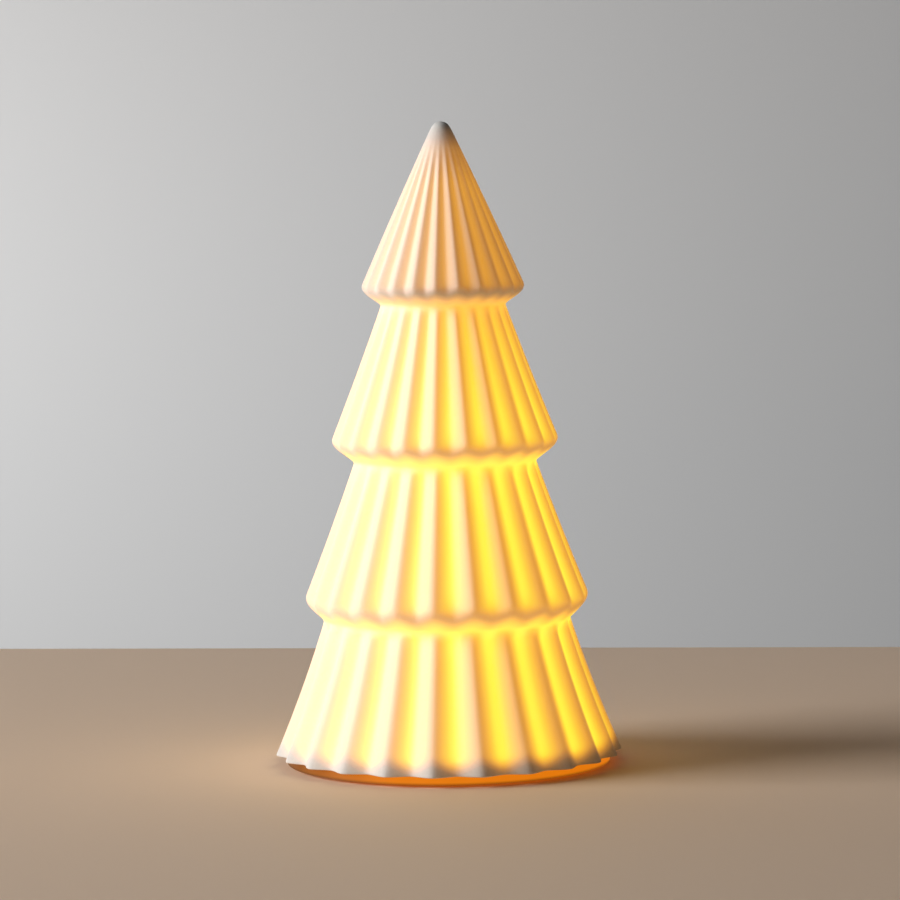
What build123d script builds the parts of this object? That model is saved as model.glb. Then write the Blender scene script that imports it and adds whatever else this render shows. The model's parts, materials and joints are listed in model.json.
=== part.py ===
from build123d import *
from math import atan2, cos, dist, pi, radians, sin, tan
import os

# A lit ceramic tree: a hollow fluted shell that lifts off a battery base.
# Millimetres, +Z up, the table at height zero and the tree's axis on Z.

# Ceramic shell: ridge line of the four tiers
RIM_HEIGHT = 4.0
BASE_RADIUS = 65.0
BASE_TIER_HEIGHT = 50.5
THIRD_NECK_RADIUS = 46.0
THIRD_TIER_HEIGHT = 58.9
SECOND_NECK_RADIUS = 33.9
SECOND_TIER_HEIGHT = 58.4
FIRST_NECK_RADIUS = 23.1
TOP_TIER_HEIGHT = 73.0
THIRD_HEM_RADIUS = 53.7
THIRD_HEM_DROP = 7.0
SECOND_HEM_RADIUS = 43.0
SECOND_HEM_DROP = 6.7
FIRST_HEM_RADIUS = 31.1
FIRST_HEM_DROP = 5.4
HEM_ROUND = 5.5
TIP_ROUND = 3.7
TIP_LEDGE = 0.1
TIP_SOLID = 24.0
BASE_SAG = 0.75
TIER_SAG = 0.3
WALL = 3.0

# Ceramic shell: flutes
FLUTES = 23
FIRST_RIDGE_ANGLE = -95.4
GROOVE_DEPTH_SHARE = 0.054
FAINT_GROOVE_SHARE = 0.002
CREST_WIDTH_SHARE = 0.16
CREST_DROP_SHARE = 0.14
SHOULDER = 5.0
TIP_PLAIN = 7.0
NOSE_STEPS = 3

# Base plate and its feet
FOOT_RADIUS = 5.0
FOOT_THICKNESS = 1.6
FOOT_DROP = 0.8
FOOT_CHAMFER = 0.4
FOOT_INSET = 12.4
FEET = 4
FLANGE_INSET = 4.5
RIM_WIDTH = 10.4
BORE_HEIGHT = 11.0
PLATEAU_HEIGHT = 3.0
PLATEAU_CLEARANCE = 0.6
GRIP_HEIGHT = 1.6
GRIP_DEPTH = 1.4
GRIP_CLEARANCE = 0.3

# Cells and their bay
CELLS = 3
CELL_RADIUS = 5.25
CELL_LENGTH = 44.5
CELL_PITCH = 10.9
NUB_RADIUS = 1.9
NUB_LENGTH = 1.2
BAY_WALL = 1.6
BAY_SIDE_GAP = 0.65
CELL_CLEARANCE = 0.4
CONTACT_THICKNESS = 0.4
CONTACT_SIZE = 8.0
SPRING_LENGTH = 5.5
SPRING_BASE_RADIUS = 3.6
SPRING_TOP_RADIUS = 2.2
SPRING_WIRE = 0.7
SPRING_TURNS = 4
SPRING_SAMPLES = 12
TAB_WIDTH = 2.4
TAB_RISE = 3.0
TAB_SLOT_GAP = 0.3
WINDOW_GAP = 0.2

# Battery door, its hinge and its screw
DOOR_THICKNESS = 1.8
DOOR_GAP = 0.3
BARREL_RADIUS = 1.5
PIN_RADIUS = 0.8
PIN_REACH = 1.0
PIN_CLEARANCE = 0.06
LATCH_BLOCK_LENGTH = 8.4
LATCH_BLOCK_HEIGHT = 8.0
LATCH_WALL = 1.6
LATCH_SCREW_INSET = 3.5
LATCH_SCREW_LENGTH = 5.0
LATCH_HOLE_GAP = 0.6
DOOR_RIB_LENGTH = 12.0
DOOR_RIB_WIDTH = 0.8
DOOR_RIB_PITCH = 2.0
DOOR_RIB_DEPTH = 0.5
DOOR_RIBS = 4

# Screws
SCREW_HEAD_RADIUS = 2.1
SCREW_HEAD_HEIGHT = 1.3
SCREW_SHANK_RADIUS = 1.1
SCREW_LENGTH = 4.2
SCREW_HOLE_GAP = 0.2
SCREW_TIP_GAP = 0.4
CROSS_LENGTH = 2.6
CROSS_WIDTH = 0.6
CROSS_DEPTH = 0.6
EAR_LENGTH = 6.0
EAR_WIDTH = 32.0
EAR_THICKNESS = 1.6
EAR_SCREW_OFFSET = 13.0

# Circuit board and what stands on it
BOARD_RADIUS = 23.0
BOARD_THICKNESS = 1.6
POST_RADIUS = 2.4
POST_HEIGHT = 4.4
POST_X = 16.0
POST_Y = 11.0
LEDS = 6
LED_RING_RADIUS = 14.0
LED_RADIUS = 2.5
LED_LENGTH = 8.6
LED_COLLAR_RADIUS = 2.9
LED_COLLAR_HEIGHT = 1.0
LED_STAND = 3.0
LEAD_THICKNESS = 0.5
LEAD_PITCH = 2.54
LEAD_TAIL = 1.2
LEAD_HOLE_RADIUS = 0.5
CHIP_LENGTH = 5.0
CHIP_WIDTH = 3.9
CHIP_HEIGHT = 1.5
CHIP_LEGS = 4
CHIP_LEG_PITCH = 1.27
CHIP_LEG_WIDTH = 0.4
CHIP_LEG_REACH = 1.0
CHIP_LEG_HEIGHT = 0.7
RESISTOR_LENGTH = 3.2
RESISTOR_WIDTH = 1.6
RESISTOR_HEIGHT = 0.6
RESISTOR_OFFSET = 6.0
CAPACITOR_RADIUS = 2.0
CAPACITOR_HEIGHT = 5.0
CAPACITOR_OFFSET = 6.5

# Slide switch
SWITCH_Y = -33.0
SWITCH_WELL_LENGTH = 15.0
SWITCH_WELL_WIDTH = 8.0
SWITCH_SKIN = 2.0
SWITCH_CAN_LENGTH = 11.0
SWITCH_CAN_WIDTH = 6.6
SWITCH_CAN_HEIGHT = 5.5
BRACKET_LENGTH = 24.0
BRACKET_THICKNESS = 0.6
BRACKET_SCREW_OFFSET = 9.5
SWITCH_RACE_DEPTH = 2.0
KNOB_TRAVEL = 4.0
KNOB_GAP = 0.3
KNOB_LENGTH = 5.0
KNOB_WIDTH = 3.6
KNOB_HEIGHT = 2.2
KNOB_NECK_LENGTH = 3.0
KNOB_NECK_WIDTH = 2.4
KNOB_RIB_WIDTH = 0.5
KNOB_RIB_DEPTH = 0.4
KNOB_RIB_PITCH = 1.2
KNOB_RIBS = 3
TERMINAL_PITCH = 5.0
TERMINAL_SIZE = 0.8
TERMINAL_HEIGHT = 1.6

# Leads
LEAD_RADIUS = 0.6
LEAD_TOP = 28.5
LEAD_BOARD_X = 18.5
LEAD_BOARD_Y = 7.0
SWITCH_LEAD_BOARD_Y = 19.5

# A cut runs past the face that it opens by this much, and a snug round fit has this gap
OVERRUN = 1.0
SEAT_GAP = 0.05

# Levels and places that follow from the sizes above
FLUTE_PITCH = 360 / FLUTES
THIRD_NECK = RIM_HEIGHT + BASE_TIER_HEIGHT
SECOND_NECK = THIRD_NECK + THIRD_TIER_HEIGHT
FIRST_NECK = SECOND_NECK + SECOND_TIER_HEIGHT
APEX = FIRST_NECK + TOP_TIER_HEIGHT
FLANGE_RADIUS = BASE_RADIUS - FLANGE_INSET
BORE_RADIUS = BASE_RADIUS - RIM_WIDTH
FOOT_RING_RADIUS = FLANGE_RADIUS - FOOT_INSET
PLATE_BOTTOM = FOOT_DROP
PLATEAU_TOP = RIM_HEIGHT + PLATEAU_HEIGHT
PLATEAU_RADIUS = BORE_RADIUS - PLATEAU_CLEARANCE
GRIP_SEAT_RADIUS = PLATEAU_RADIUS - GRIP_DEPTH
GRIP_BOTTOM = RIM_HEIGHT + (PLATEAU_HEIGHT - GRIP_HEIGHT) / 2
BAY_LENGTH = CELL_LENGTH + SPRING_LENGTH + 2 * CONTACT_THICKNESS
BAY_WIDTH = 2 * (CELL_PITCH + CELL_RADIUS + BAY_SIDE_GAP)
HOLDER_LENGTH = BAY_LENGTH + 2 * BAY_WALL
HOLDER_WIDTH = BAY_WIDTH + 2 * BAY_WALL
CELL_AXIS = PLATE_BOTTOM + 2 * BARREL_RADIUS + CELL_CLEARANCE + CELL_RADIUS
BAY_ROOF = CELL_AXIS + CELL_RADIUS + CELL_CLEARANCE
HOLDER_ROOF = BAY_ROOF + BAY_WALL
BLOCK_END = -HOLDER_LENGTH / 2 - LATCH_BLOCK_LENGTH
DOOR_RECESS_END = BLOCK_END + LATCH_WALL
DOOR_FREE_END = DOOR_RECESS_END + DOOR_GAP
HINGE_X = BAY_LENGTH / 2 - DOOR_GAP - BARREL_RADIUS
HINGE_Z = PLATE_BOTTOM + BARREL_RADIUS
DOOR_WIDTH = BAY_WIDTH - 2 * DOOR_GAP
LATCH_SCREW_X = DOOR_FREE_END + LATCH_SCREW_INSET
CONTACT_FACE = BAY_LENGTH / 2 - CONTACT_THICKNESS
BOARD_BOTTOM = HOLDER_ROOF + POST_HEIGHT
BOARD_TOP = BOARD_BOTTOM + BOARD_THICKNESS
LED_BOTTOM = BOARD_TOP + LED_STAND
SWITCH_WELL_TOP = PLATEAU_TOP - SWITCH_SKIN
SWITCH_TOP = PLATEAU_TOP + SWITCH_CAN_HEIGHT
KNOB_X = -KNOB_TRAVEL / 2
CELL_ROWS = [(k - (CELLS - 1) / 2) * CELL_PITCH for k in range(CELLS)]
EAR_SCREWS = [
    (x, y)
    for x in (-EAR_SCREW_OFFSET, EAR_SCREW_OFFSET)
    for y in (-HOLDER_WIDTH / 2 - EAR_LENGTH / 2, HOLDER_WIDTH / 2 + EAR_LENGTH / 2)
]
POSTS = [(x, y) for x in (-POST_X, POST_X) for y in (-POST_Y, POST_Y)]


def save(piece, name):
    """Label a finished piece and write it to its own file."""
    piece.label = name
    export_step(piece, f"parts/{name}.step")
    print(name, "volume", round(piece.volume, 1))


def on_ring(radius, angle):
    """Point at this radius and angle (degrees) about the tree's axis."""
    return (radius * cos(radians(angle)), radius * sin(radians(angle)))


def flute_outline(ridge, groove):
    """Scalloped outline: rounded ridges at one radius, hollow grooves down to another."""
    half_crest = FLUTE_PITCH * CREST_WIDTH_SHARE / 2
    groove = min(groove, ridge * (1 - FAINT_GROOVE_SHARE))
    crest_edge = ridge - (ridge - groove) * CREST_DROP_SHARE
    for k in range(FLUTES):
        angle = FIRST_RIDGE_ANGLE + k * FLUTE_PITCH
        crest_start = on_ring(crest_edge, angle - half_crest)
        crest_end = on_ring(crest_edge, angle + half_crest)
        next_crest = on_ring(crest_edge, angle + FLUTE_PITCH - half_crest)
        ThreePointArc(crest_start, on_ring(ridge, angle), crest_end)
        ThreePointArc(crest_end, on_ring(groove, angle + FLUTE_PITCH / 2), next_crest)


def tier_stations(top_radius, top, hem_radius, hem, neck_radius, neck, sag):
    """Heights, ridge and groove radii of one tier, from its shoulder to its hem's underside.

    The side is a straight ridge line, drawn in by the sag at mid height. The hem is a round nose
    between the side and the plain underside, which runs in and down to the next neck.
    """
    slope = (hem_radius - top_radius) / (top - hem)
    corner = Vector(hem_radius, hem)
    up = (Vector(top_radius, top) - corner).normalized()
    under = (Vector(neck_radius, neck) - corner).normalized()
    half_angle = radians(up.get_angle(under)) / 2
    centre = corner + (up + under).normalized() * (HEM_ROUND / sin(half_angle))
    nose_top = corner + up * (HEM_ROUND / tan(half_angle))
    nose_bottom = corner + under * (HEM_ROUND / tan(half_angle))
    first = atan2(nose_top.Y - centre.Y, nose_top.X - centre.X)
    last = atan2(nose_bottom.Y - centre.Y, nose_bottom.X - centre.X)

    def groove_line(height):
        return (top_radius + slope * (top - height)) * (1 - GROOVE_DEPTH_SHARE)

    shoulder = top - SHOULDER
    middle = (shoulder + nose_top.Y) / 2
    side = [(shoulder, 0), (middle, sag)]
    stations = [(h, groove_line(h) / (1 - GROOVE_DEPTH_SHARE) - s, groove_line(h) - s) for h, s in side]
    for step in range(NOSE_STEPS + 1):
        angle = first + (last - first) * step / NOSE_STEPS
        ridge = centre.X + HEM_ROUND * cos(angle)
        height = centre.Y + HEM_ROUND * sin(angle)
        stations.append((height, ridge, min(ridge, groove_line(height))))
    return stations


def shell_stations():
    """Every level of the shell's outside, from the rim to the ring under the rounded tip."""
    top_slope = FIRST_HEM_RADIUS / (TOP_TIER_HEIGHT - FIRST_HEM_DROP)
    tip_ring = TIP_ROUND * cos(atan2(top_slope, 1))
    tip_level = APEX - tip_ring / top_slope
    plain = tip_level - TIP_PLAIN
    plain_radius = top_slope * (APEX - plain)
    rows = [(tip_level, tip_ring, tip_ring), (plain, plain_radius, plain_radius)]
    rows += tier_stations(
        plain_radius, plain, FIRST_HEM_RADIUS, FIRST_NECK + FIRST_HEM_DROP,
        FIRST_NECK_RADIUS, FIRST_NECK, -TIER_SAG)
    rows.append((FIRST_NECK, FIRST_NECK_RADIUS, FIRST_NECK_RADIUS))
    rows += tier_stations(
        FIRST_NECK_RADIUS, FIRST_NECK, SECOND_HEM_RADIUS, SECOND_NECK + SECOND_HEM_DROP,
        SECOND_NECK_RADIUS, SECOND_NECK, TIER_SAG)
    rows.append((SECOND_NECK, SECOND_NECK_RADIUS, SECOND_NECK_RADIUS))
    rows += tier_stations(
        SECOND_NECK_RADIUS, SECOND_NECK, THIRD_HEM_RADIUS, THIRD_NECK + THIRD_HEM_DROP,
        THIRD_NECK_RADIUS, THIRD_NECK, TIER_SAG)
    rows.append((THIRD_NECK, THIRD_NECK_RADIUS, THIRD_NECK_RADIUS))
    base_slope = (BASE_RADIUS - THIRD_NECK_RADIUS) / BASE_TIER_HEIGHT
    shoulder = THIRD_NECK - SHOULDER
    middle = (shoulder + RIM_HEIGHT) / 2
    for height, sag in ((shoulder, 0), (middle, BASE_SAG), (RIM_HEIGHT, 0)):
        ridge = BASE_RADIUS - base_slope * (height - RIM_HEIGHT) - sag
        rows.append((height, ridge, ridge * (1 - GROOVE_DEPTH_SHARE)))
    return rows[::-1]


os.makedirs("parts", exist_ok=True)

# Ceramic shell: stacked scalloped levels, a rounded tip, and a plain hollow inside
with BuildPart() as tree_shell:
    levels = shell_stations()
    for height, ridge, groove in levels:
        with BuildSketch(Plane.XY.offset(height)):
            with BuildLine():
                flute_outline(ridge, groove)
            make_face()
    loft(ruled=True)
    tip_level, tip_ring, _ = levels[-1]
    dome_ring = tip_ring - TIP_LEDGE
    tip_top = tip_level - (TIP_ROUND ** 2 - dome_ring ** 2) ** 0.5 + TIP_ROUND
    with BuildSketch(Plane.XZ):
        with BuildLine():
            Line((0, tip_level), (dome_ring, tip_level))
            RadiusArc((dome_ring, tip_level), (0, tip_top), -TIP_ROUND)
            Line((0, tip_top), (0, tip_level))
        make_face()
    revolve(axis=Axis.Z)
    with BuildSketch(Plane.XZ):
        with BuildLine():
            Polyline(
                (0, RIM_HEIGHT - OVERRUN),
                (BORE_RADIUS, RIM_HEIGHT - OVERRUN),
                (BORE_RADIUS, RIM_HEIGHT + BORE_HEIGHT),
                (THIRD_NECK_RADIUS * (1 - GROOVE_DEPTH_SHARE) - WALL, THIRD_NECK),
                (THIRD_HEM_RADIUS * (1 - GROOVE_DEPTH_SHARE) - 2 * WALL, THIRD_NECK + THIRD_HEM_DROP + WALL),
                (SECOND_NECK_RADIUS * (1 - GROOVE_DEPTH_SHARE) - WALL, SECOND_NECK),
                (SECOND_HEM_RADIUS * (1 - GROOVE_DEPTH_SHARE) - 2 * WALL, SECOND_NECK + SECOND_HEM_DROP + WALL),
                (FIRST_NECK_RADIUS * (1 - GROOVE_DEPTH_SHARE) - WALL, FIRST_NECK),
                (FIRST_HEM_RADIUS * (1 - GROOVE_DEPTH_SHARE) - 2 * WALL, FIRST_NECK + FIRST_HEM_DROP + WALL),
                (TIP_ROUND, APEX - TIP_SOLID),
                (0, APEX - TIP_SOLID),
                close=True,
            )
        make_face()
    revolve(axis=Axis.Z, mode=Mode.SUBTRACT)
save(tree_shell.part, "tree_shell")


def block(length, width, bottom, top, x=0, y=0, along=Align.CENTER, mode=Mode.ADD):
    """Upright block between two levels, joined to or cut from the piece being made."""
    with BuildSketch(Plane.XY.offset(bottom)) as outline:
        with Locations((x, y)):
            Rectangle(length, width, align=(along, Align.CENTER))
    extrude(outline.sketch, amount=top - bottom, mode=mode)


def rounds(places, radius, bottom, top, mode=Mode.ADD):
    """Upright rods or holes of one radius between two levels."""
    with BuildSketch(Plane.XY.offset(bottom)) as outline:
        with Locations(*places):
            Circle(radius)
    extrude(outline.sketch, amount=top - bottom, mode=mode)


def crosses(places, level, depth):
    """Crossed driver slots cut into screw heads."""
    with BuildSketch(Plane.XY.offset(level)) as slots:
        with Locations(*places):
            Rectangle(CROSS_LENGTH, CROSS_WIDTH)
            Rectangle(CROSS_WIDTH, CROSS_LENGTH)
    extrude(slots.sketch, amount=depth, mode=Mode.SUBTRACT)


def pan_screws(places, seat):
    """Pan-head screws with their heads on the seat and their shanks going down."""
    rounds(places, SCREW_HEAD_RADIUS, seat, seat + SCREW_HEAD_HEIGHT)
    rounds(places, SCREW_SHANK_RADIUS, seat - SCREW_LENGTH, seat)
    crosses(places, seat + SCREW_HEAD_HEIGHT, -CROSS_DEPTH)


def pilot_holes(places, seat, top):
    """Holes from the top face down past the tips of screws that sit on the seat."""
    rounds(places, SCREW_SHANK_RADIUS + SEAT_GAP, seat - SCREW_LENGTH - SCREW_TIP_GAP, top, Mode.SUBTRACT)


EAR_SEAT = PLATEAU_TOP + EAR_THICKNESS
BRACKET_SEAT = PLATEAU_TOP + BRACKET_THICKNESS
BRACKET_SCREWS = [(x, SWITCH_Y) for x in (-BRACKET_SCREW_OFFSET, BRACKET_SCREW_OFFSET)]
RACE_LENGTH = KNOB_NECK_LENGTH + KNOB_TRAVEL + 2 * KNOB_GAP
RACE_WIDTH = KNOB_NECK_WIDTH + 2 * KNOB_GAP

# Base plate: a flange under the shell's rim and a plateau inside its bore
with BuildPart() as base_plate:
    rounds([(0, 0)], FLANGE_RADIUS, PLATE_BOTTOM, RIM_HEIGHT)
    rounds([(0, 0)], PLATEAU_RADIUS, RIM_HEIGHT, PLATEAU_TOP)
    with BuildSketch(Plane.XY.offset(GRIP_BOTTOM)):
        Circle(BORE_RADIUS)
        Circle(GRIP_SEAT_RADIUS, mode=Mode.SUBTRACT)
    extrude(amount=GRIP_HEIGHT, mode=Mode.SUBTRACT)
    block(
        HOLDER_LENGTH / 2 - BLOCK_END + 2 * WINDOW_GAP, HOLDER_WIDTH + 2 * WINDOW_GAP,
        PLATE_BOTTOM - OVERRUN, PLATEAU_TOP + OVERRUN,
        x=BLOCK_END - WINDOW_GAP, along=Align.MIN, mode=Mode.SUBTRACT)
    with BuildSketch(Plane.XY.offset(PLATE_BOTTOM)):
        with PolarLocations(FOOT_RING_RADIUS, FEET, start_angle=180 / FEET):
            Circle(FOOT_RADIUS + SEAT_GAP)
    extrude(amount=FOOT_THICKNESS - FOOT_DROP, mode=Mode.SUBTRACT)
    pilot_holes(EAR_SCREWS, EAR_SEAT, PLATEAU_TOP)
    pilot_holes(BRACKET_SCREWS, BRACKET_SEAT, PLATEAU_TOP)
    block(
        SWITCH_WELL_LENGTH, SWITCH_WELL_WIDTH, PLATE_BOTTOM - OVERRUN, SWITCH_WELL_TOP,
        y=SWITCH_Y, mode=Mode.SUBTRACT)
    block(RACE_LENGTH, RACE_WIDTH, SWITCH_WELL_TOP - OVERRUN, PLATEAU_TOP + OVERRUN, y=SWITCH_Y, mode=Mode.SUBTRACT)
save(base_plate.part, "base_plate")

# Silicone grip ring in the plateau's groove
with BuildPart() as grip_ring:
    with BuildSketch(Plane.XY.offset(GRIP_BOTTOM)):
        Circle(BORE_RADIUS - GRIP_CLEARANCE)
        Circle(GRIP_SEAT_RADIUS + SEAT_GAP, mode=Mode.SUBTRACT)
    extrude(amount=GRIP_HEIGHT)
save(grip_ring.part, "grip_ring")

# Rubber feet, let into the flange
for k in range(FEET):
    with BuildPart() as foot:
        with BuildSketch():
            with PolarLocations(FOOT_RING_RADIUS, 1, start_angle=(k + 1 / 2) * 360 / FEET):
                Circle(FOOT_RADIUS)
        extrude(amount=FOOT_THICKNESS)
        chamfer(foot.edges().sort_by(Axis.Z)[0], FOOT_CHAMFER)
    save(foot.part, f"foot_{k + 1}")

# Battery holder: a tub open below, a latch block, screw ears and posts for the board
with BuildPart() as battery_holder:
    block(HOLDER_LENGTH, HOLDER_WIDTH, PLATE_BOTTOM, HOLDER_ROOF)
    block(
        LATCH_BLOCK_LENGTH + BAY_WALL, HOLDER_WIDTH, PLATE_BOTTOM, PLATE_BOTTOM + LATCH_BLOCK_HEIGHT,
        x=BLOCK_END, along=Align.MIN)
    block(EAR_WIDTH, HOLDER_WIDTH + 2 * EAR_LENGTH, PLATEAU_TOP, EAR_SEAT)
    rounds(POSTS, POST_RADIUS, HOLDER_ROOF, BOARD_BOTTOM)
    pilot_holes(POSTS, BOARD_TOP, BOARD_BOTTOM)
    rounds(EAR_SCREWS, SCREW_SHANK_RADIUS + SCREW_HOLE_GAP, PLATEAU_TOP, EAR_SEAT, Mode.SUBTRACT)
    block(BAY_LENGTH, BAY_WIDTH, PLATE_BOTTOM - OVERRUN, BAY_ROOF, mode=Mode.SUBTRACT)
    block(
        HINGE_X - DOOR_RECESS_END, BAY_WIDTH, PLATE_BOTTOM - OVERRUN, PLATE_BOTTOM + DOOR_THICKNESS + DOOR_GAP,
        x=DOOR_RECESS_END, along=Align.MIN, mode=Mode.SUBTRACT)
    rounds(
        [(LATCH_SCREW_X, 0)], SCREW_SHANK_RADIUS + LATCH_HOLE_GAP,
        PLATE_BOTTOM, PLATE_BOTTOM + SCREW_HEAD_HEIGHT + LATCH_SCREW_LENGTH + LATCH_HOLE_GAP, Mode.SUBTRACT)
    with BuildSketch(Plane.XZ):
        with Locations((HINGE_X, HINGE_Z)):
            Circle(PIN_RADIUS + PIN_CLEARANCE)
    extrude(amount=BAY_WIDTH / 2 + PIN_REACH + PIN_CLEARANCE, both=True, mode=Mode.SUBTRACT)
    for side, row in ((1, CELL_ROWS[0]), (-1, CELL_ROWS[-1])):
        block(
            CONTACT_THICKNESS + 2 * TAB_SLOT_GAP, TAB_WIDTH + 2 * TAB_SLOT_GAP, BAY_ROOF - OVERRUN,
            HOLDER_ROOF + OVERRUN, x=side * (CONTACT_FACE + CONTACT_THICKNESS / 2), y=row, mode=Mode.SUBTRACT)
save(battery_holder.part, "battery_holder")

with BuildPart() as holder_screws:
    pan_screws(EAR_SCREWS, EAR_SEAT)
save(holder_screws.part, "holder_screws")

# Battery door: a plate with a hinge barrel and two pins, a sunk screw hole and finger ribs
with BuildPart() as battery_door:
    block(
        HINGE_X - DOOR_FREE_END, DOOR_WIDTH, PLATE_BOTTOM, PLATE_BOTTOM + DOOR_THICKNESS,
        x=DOOR_FREE_END, along=Align.MIN)
    for radius, reach in ((BARREL_RADIUS, DOOR_WIDTH / 2), (PIN_RADIUS, BAY_WIDTH / 2 + PIN_REACH)):
        with BuildSketch(Plane.XZ):
            with Locations((HINGE_X, HINGE_Z)):
                Circle(radius)
        extrude(amount=reach, both=True)
    rounds(
        [(LATCH_SCREW_X, 0)], SCREW_HEAD_RADIUS + SCREW_HOLE_GAP,
        PLATE_BOTTOM, PLATE_BOTTOM + SCREW_HEAD_HEIGHT, Mode.SUBTRACT)
    rounds(
        [(LATCH_SCREW_X, 0)], SCREW_SHANK_RADIUS + SCREW_HOLE_GAP,
        PLATE_BOTTOM, PLATE_BOTTOM + DOOR_THICKNESS, Mode.SUBTRACT)
    for k in range(DOOR_RIBS):
        block(
            DOOR_RIB_WIDTH, DOOR_RIB_LENGTH, PLATE_BOTTOM, PLATE_BOTTOM + DOOR_RIB_DEPTH,
            x=LATCH_SCREW_X + 2 * SCREW_HEAD_RADIUS + k * DOOR_RIB_PITCH, mode=Mode.SUBTRACT)
save(battery_door.part, "battery_door")

# Captive door screw, its head sunk in the door and its shank in the latch block
with BuildPart() as door_screw:
    head_top = PLATE_BOTTOM + SCREW_HEAD_HEIGHT
    rounds([(LATCH_SCREW_X, 0)], SCREW_HEAD_RADIUS, PLATE_BOTTOM, head_top)
    rounds([(LATCH_SCREW_X, 0)], SCREW_SHANK_RADIUS, head_top, head_top + LATCH_SCREW_LENGTH)
    crosses([(LATCH_SCREW_X, 0)], PLATE_BOTTOM, CROSS_DEPTH)
save(door_screw.part, "door_screw")

# Cells, lying side by side with their nubs at alternate ends
for k, row in enumerate(CELL_ROWS):
    nub_side = 1 if k % 2 == 0 else -1
    with BuildPart() as cell:
        with BuildSketch(Plane.YZ.offset(nub_side * (SPRING_LENGTH - CONTACT_FACE))):
            with Locations((row, CELL_AXIS)):
                Circle(CELL_RADIUS)
        extrude(amount=nub_side * (CELL_LENGTH - NUB_LENGTH))
        with BuildSketch(Plane.YZ.offset(nub_side * CONTACT_FACE)):
            with Locations((row, CELL_AXIS)):
                Circle(NUB_RADIUS)
        extrude(amount=-nub_side * NUB_LENGTH)
    save(cell.part, f"battery_{k + 1}")


def contact_plate(side, rows, tab):
    """Stamped contact on one end wall of the bay, across one or two cells, with or without a tab."""
    with BuildPart() as contact:
        with BuildSketch(Plane.YZ.offset(side * CONTACT_FACE)):
            with Locations(((rows[0] + rows[-1]) / 2, CELL_AXIS)):
                Rectangle(rows[-1] - rows[0] + CONTACT_SIZE, CONTACT_SIZE)
            if tab:
                with Locations((rows[0], CELL_AXIS)):
                    Rectangle(TAB_WIDTH, HOLDER_ROOF + TAB_RISE - CELL_AXIS, align=(Align.CENTER, Align.MIN))
        extrude(amount=side * CONTACT_THICKNESS)
    return contact.part


save(contact_plate(1, CELL_ROWS[:1], True), "positive_contact")
save(contact_plate(-1, CELL_ROWS[:2], False), "bridge_contact_1")
save(contact_plate(1, CELL_ROWS[1:], False), "bridge_contact_2")
save(contact_plate(-1, CELL_ROWS[2:], True), "negative_contact")


def spring_knots(side, row):
    """Quarter-turn points and directions along a conical spring from the contact to the cell."""
    start = SPRING_WIRE / 2 + SEAT_GAP
    rise = SPRING_LENGTH - 2 * start
    sweep_angle = 2 * pi * SPRING_TURNS
    taper = SPRING_TOP_RADIUS - SPRING_BASE_RADIUS
    knots = []
    for k in range(4 * SPRING_TURNS + 1):
        share = k / (4 * SPRING_TURNS)
        turn = sweep_angle * share
        radius = SPRING_BASE_RADIUS + taper * share
        place = Vector(
            side * (CONTACT_FACE - start - rise * share), row + radius * cos(turn), CELL_AXIS + radius * sin(turn))
        heading = Vector(
            -side * rise,
            taper * cos(turn) - radius * sweep_angle * sin(turn),
            taper * sin(turn) + radius * sweep_angle * cos(turn))
        knots.append((place, heading.normalized()))
    return knots


def self_gap(path):
    """Least gap between neighbouring turns, from points along the wire's middle."""
    count = SPRING_SAMPLES * 4 * SPRING_TURNS
    points = [tuple(path @ (k / count)) for k in range(count + 1)]
    half_turn = SPRING_SAMPLES * 2
    return min(dist(a, b) for i, a in enumerate(points) for b in points[i + half_turn:]) - SPRING_WIRE


# Cell springs: one unbroken wire each, in pairs of arcs that follow a conical helix
for k, (side, row) in enumerate(zip((-1, 1, -1), CELL_ROWS)):
    with BuildPart() as contact_spring:
        with BuildLine() as coil:
            knots = spring_knots(side, row)
            for (start, leave), (end, arrive) in zip(knots, knots[1:]):
                chord = end - start
                both = leave + arrive
                spread = 2 * (1 - leave.dot(arrive))
                along = chord.dot(both)
                reach = ((along ** 2 + spread * chord.dot(chord)) ** 0.5 - along) / spread
                before = start + leave * reach
                after = end - arrive * reach
                middle = (before + after) / 2
                TangentArc(start, middle, tangent=leave)
                TangentArc(middle, end, tangent=after - before)
        with BuildSketch(Plane(origin=coil.line @ 0, z_dir=coil.line % 0)):
            Circle(SPRING_WIRE / 2)
        sweep(path=coil.line)
    print("least gap between turns", round(self_gap(coil.line), 2))
    save(contact_spring.part, f"contact_spring_{k + 1}")

# Circuit board on its posts
with BuildPart() as circuit_board:
    rounds([(0, 0)], BOARD_RADIUS, BOARD_BOTTOM, BOARD_TOP)
    rounds(POSTS, SCREW_SHANK_RADIUS + SCREW_HOLE_GAP, BOARD_BOTTOM, BOARD_TOP, Mode.SUBTRACT)
    with BuildSketch(Plane.XY.offset(BOARD_BOTTOM)):
        with PolarLocations(LED_RING_RADIUS, LEDS):
            with GridLocations(0, LEAD_PITCH, 1, 2):
                Circle(LEAD_HOLE_RADIUS)
    extrude(amount=BOARD_THICKNESS, mode=Mode.SUBTRACT)
save(circuit_board.part, "circuit_board")

with BuildPart() as board_screws:
    pan_screws(POSTS, BOARD_TOP)
save(board_screws.part, "board_screws")

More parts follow.
